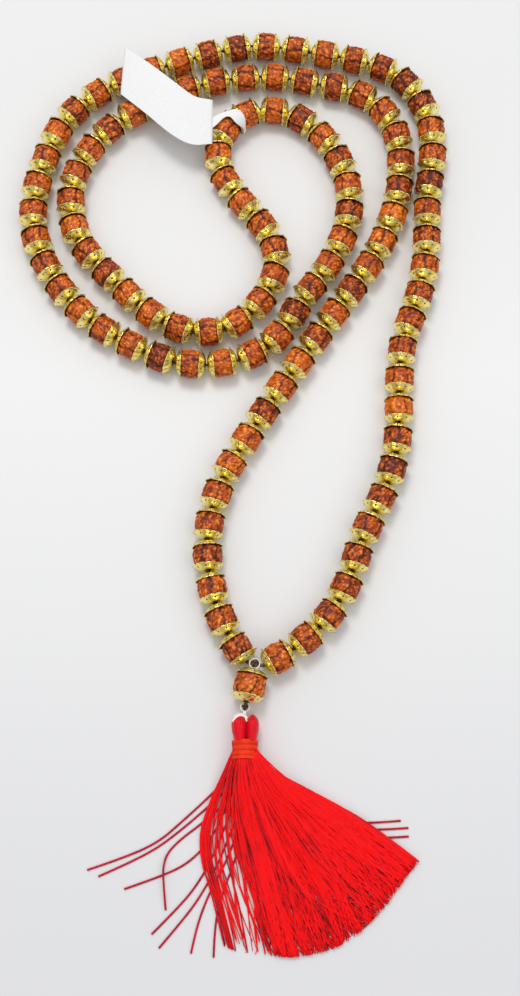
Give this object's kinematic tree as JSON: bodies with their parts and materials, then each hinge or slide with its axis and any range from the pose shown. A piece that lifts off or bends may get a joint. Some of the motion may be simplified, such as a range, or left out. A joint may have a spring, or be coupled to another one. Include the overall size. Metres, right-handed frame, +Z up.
{
  "type": "prayer bead string",
  "caption": "String of wrinkled seed beads between metal caps, with a larger end bead, a thread tassel and a blank paper tag.",
  "frame": {"origin": "middle of the base of the laid-out string, on the surface that it lies on", "axes": "+Z up from the table, +Y from the tassel towards the coiled far end, +X to the right"},
  "size_m": [0.1168, 0.2502, 0.0099],
  "materials": {
    "rudraksha_seeds": "wrinkled reddish-brown seed, oiled",
    "bead_caps": "bright gilt brass, pierced brim",
    "strand_thread": "dark twisted thread",
    "white_tie": "white cotton thread",
    "tassel_head": "bundled red silk thread",
    "neck_wrap": "wound orange-red thread",
    "tassel_thread": "loose red silk thread with a sheen",
    "tag_paper": "matt white paper"
  },
  "bodies": {
    "strand": {"strand_thread": "strand_thread", "joining_knot": "strand_thread", "left_strand_caps": "bead_caps", "right_strand_caps": "bead_caps", "tag_band": "tag_paper", "first_turn_beads": "rudraksha_seeds", "first_turn_caps": "bead_caps", "inner_turn_beads": "rudraksha_seeds", "inner_turn_caps": "bead_caps", "outer_turn_beads": "rudraksha_seeds", "outer_turn_caps": "bead_caps"},
    "left_bead_01": {"left_bead_01": "rudraksha_seeds"},
    "left_bead_02": {"left_bead_02": "rudraksha_seeds"},
    "left_bead_03": {"left_bead_03": "rudraksha_seeds"},
    "left_bead_04": {"left_bead_04": "rudraksha_seeds"},
    "left_bead_05": {"left_bead_05": "rudraksha_seeds"},
    "left_bead_06": {"left_bead_06": "rudraksha_seeds"},
    "left_bead_07": {"left_bead_07": "rudraksha_seeds"},
    "left_bead_08": {"left_bead_08": "rudraksha_seeds"},
    "left_bead_09": {"left_bead_09": "rudraksha_seeds"},
    "left_bead_10": {"left_bead_10": "rudraksha_seeds"},
    "right_bead_01": {"right_bead_01": "rudraksha_seeds"},
    "right_bead_02": {"right_bead_02": "rudraksha_seeds"},
    "right_bead_03": {"right_bead_03": "rudraksha_seeds"},
    "right_bead_04": {"right_bead_04": "rudraksha_seeds"},
    "right_bead_05": {"right_bead_05": "rudraksha_seeds"},
    "right_bead_06": {"right_bead_06": "rudraksha_seeds"},
    "right_bead_07": {"right_bead_07": "rudraksha_seeds"},
    "right_bead_08": {"right_bead_08": "rudraksha_seeds"},
    "right_bead_09": {"right_bead_09": "rudraksha_seeds"},
    "right_bead_10": {"right_bead_10": "rudraksha_seeds"},
    "right_bead_11": {"right_bead_11": "rudraksha_seeds"},
    "right_bead_12": {"right_bead_12": "rudraksha_seeds"},
    "right_bead_13": {"right_bead_13": "rudraksha_seeds"},
    "right_bead_14": {"right_bead_14": "rudraksha_seeds"},
    "pendant": {"guru_thread": "strand_thread", "stop_knot": "strand_thread", "guru_upper_cap": "bead_caps", "guru_lower_cap": "bead_caps"},
    "guru_bead": {"guru_bead": "rudraksha_seeds"},
    "tassel_tie": {"tassel_tie": "white_tie"},
    "tassel": {"tassel_head": "tassel_head", "neck_wrap": "neck_wrap", "tassel_skirt": "tassel_thread", "loose_threads": "tassel_thread"},
    "paper_tag": {"paper_tag": "tag_paper"}
  },
  "joints": [
    {"name": "left_bead_01_turn", "type": "hinge", "parent": "strand", "child": "left_bead_01", "pos_m": [0.00141, -0.05152, 0.004], "axis": [-0.5633, 0.8262, 0], "continuous": true},
    {"name": "left_bead_02_turn", "type": "hinge", "parent": "strand", "child": "left_bead_02", "pos_m": [-0.00249, -0.04417, 0.004], "axis": [-0.3695, 0.9292, 0], "continuous": true},
    {"name": "left_bead_03_turn", "type": "hinge", "parent": "strand", "child": "left_bead_03", "pos_m": [-0.00496, -0.0362, 0.004], "axis": [-0.2192, 0.9757, 0], "continuous": true},
    {"name": "left_bead_04_turn", "type": "hinge", "parent": "strand", "child": "left_bead_04", "pos_m": [-0.00613, -0.02794, 0.004], "axis": [-0.0603, 0.9982, 0], "continuous": true},
    {"name": "left_bead_05_turn", "type": "hinge", "parent": "strand", "child": "left_bead_05", "pos_m": [-0.00582, -0.01962, 0.004], "axis": [0.1332, 0.9911, 0], "continuous": true},
    {"name": "left_bead_06_turn", "type": "hinge", "parent": "strand", "child": "left_bead_06", "pos_m": [-0.00399, -0.01148, 0.004], "axis": [0.3044, 0.9526, 0], "continuous": true},
    {"name": "left_bead_07_turn", "type": "hinge", "parent": "strand", "child": "left_bead_07", "pos_m": [-0.00068, -0.00384, 0.004], "axis": [0.4853, 0.8744, 0], "continuous": true},
    {"name": "left_bead_08_turn", "type": "hinge", "parent": "strand", "child": "left_bead_08", "pos_m": [0.0035, 0.00342, 0.004], "axis": [0.5143, 0.8576, 0], "continuous": true},
    {"name": "left_bead_09_turn", "type": "hinge", "parent": "strand", "child": "left_bead_09", "pos_m": [0.00789, 0.01055, 0.004], "axis": [0.5332, 0.846, 0], "continuous": true},
    {"name": "left_bead_10_turn", "type": "hinge", "parent": "strand", "child": "left_bead_10", "pos_m": [0.01239, 0.01762, 0.004], "axis": [0.542, 0.8404, 0], "continuous": true},
    {"name": "right_bead_01_turn", "type": "hinge", "parent": "strand", "child": "right_bead_01", "pos_m": [0.01141, -0.05379, 0.004], "axis": [-0.8677, -0.4971, 0], "continuous": true},
    {"name": "right_bead_02_turn", "type": "hinge", "parent": "strand", "child": "right_bead_02", "pos_m": [0.01826, -0.04905, 0.004], "axis": [-0.7702, -0.6378, 0], "continuous": true},
    {"name": "right_bead_03_turn", "type": "hinge", "parent": "strand", "child": "right_bead_03", "pos_m": [0.02401, -0.04306, 0.004], "axis": [-0.6078, -0.7941, 0], "continuous": true},
    {"name": "right_bead_04_turn", "type": "hinge", "parent": "strand", "child": "right_bead_04", "pos_m": [0.02828, -0.03594, 0.004], "axis": [-0.4122, -0.9111, 0], "continuous": true},
    {"name": "right_bead_05_turn", "type": "hinge", "parent": "strand", "child": "right_bead_05", "pos_m": [0.03118, -0.02812, 0.004], "axis": [-0.2831, -0.9591, 0], "continuous": true},
    {"name": "right_bead_06_turn", "type": "hinge", "parent": "strand", "child": "right_bead_06", "pos_m": [0.03412, -0.0203, 0.004], "axis": [-0.4179, -0.9085, 0], "continuous": true},
    {"name": "right_bead_07_turn", "type": "hinge", "parent": "strand", "child": "right_bead_07", "pos_m": [0.03764, -0.0127, 0.004], "axis": [-0.4231, -0.9061, 0], "continuous": true},
    {"name": "right_bead_08_turn", "type": "hinge", "parent": "strand", "child": "right_bead_08", "pos_m": [0.04061, -0.0049, 0.004], "axis": [-0.2875, -0.9578, 0], "continuous": true},
    {"name": "right_bead_09_turn", "type": "hinge", "parent": "strand", "child": "right_bead_09", "pos_m": [0.04232, 0.00326, 0.004], "axis": [-0.1205, -0.9927, 0], "continuous": true},
    {"name": "right_bead_10_turn", "type": "hinge", "parent": "strand", "child": "right_bead_10", "pos_m": [0.04295, 0.0116, 0.004], "axis": [-0.0299, -0.9996, 0], "continuous": true},
    {"name": "right_bead_11_turn", "type": "hinge", "parent": "strand", "child": "right_bead_11", "pos_m": [0.04334, 0.01997, 0.004], "axis": [-0.0633, -0.998, 0], "continuous": true},
    {"name": "right_bead_12_turn", "type": "hinge", "parent": "strand", "child": "right_bead_12", "pos_m": [0.04423, 0.02829, 0.004], "axis": [-0.1494, -0.9888, 0], "continuous": true},
    {"name": "right_bead_13_turn", "type": "hinge", "parent": "strand", "child": "right_bead_13", "pos_m": [0.04643, 0.03631, 0.004], "axis": [-0.3752, -0.927, 0], "continuous": true},
    {"name": "right_bead_14_turn", "type": "hinge", "parent": "strand", "child": "right_bead_14", "pos_m": [0.04916, 0.04421, 0.004], "axis": [-0.2775, -0.9607, 0], "continuous": true},
    {"name": "guru_swing", "type": "hinge", "parent": "strand", "child": "pendant", "pos_m": [0.00567, -0.05538, 0.00474], "axis": [0, 0, 1], "range_deg": [-8, 8]},
    {"name": "guru_bead_turn", "type": "hinge", "parent": "pendant", "child": "guru_bead", "pos_m": [0.00448, -0.06074, 0.0042], "axis": [0.2164, 0.9763, 0], "continuous": true},
    {"name": "tie_swing", "type": "hinge", "parent": "pendant", "child": "tassel_tie", "pos_m": [0.00334, -0.0659, 0.00346], "axis": [0, 0, 1], "range_deg": [-30, 30]},
    {"name": "tassel_lift", "type": "hinge", "parent": "tassel_tie", "child": "tassel", "pos_m": [0.00334, -0.0689, 0.0032], "axis": [-1, 0, 0], "range_deg": [0, 45]},
    {"name": "tag_lift", "type": "hinge", "parent": "strand", "child": "paper_tag", "pos_m": [-0.00598, 0.09482, 0.00845], "axis": [0, 1, 0], "range_deg": [0, 70]}
  ]
}
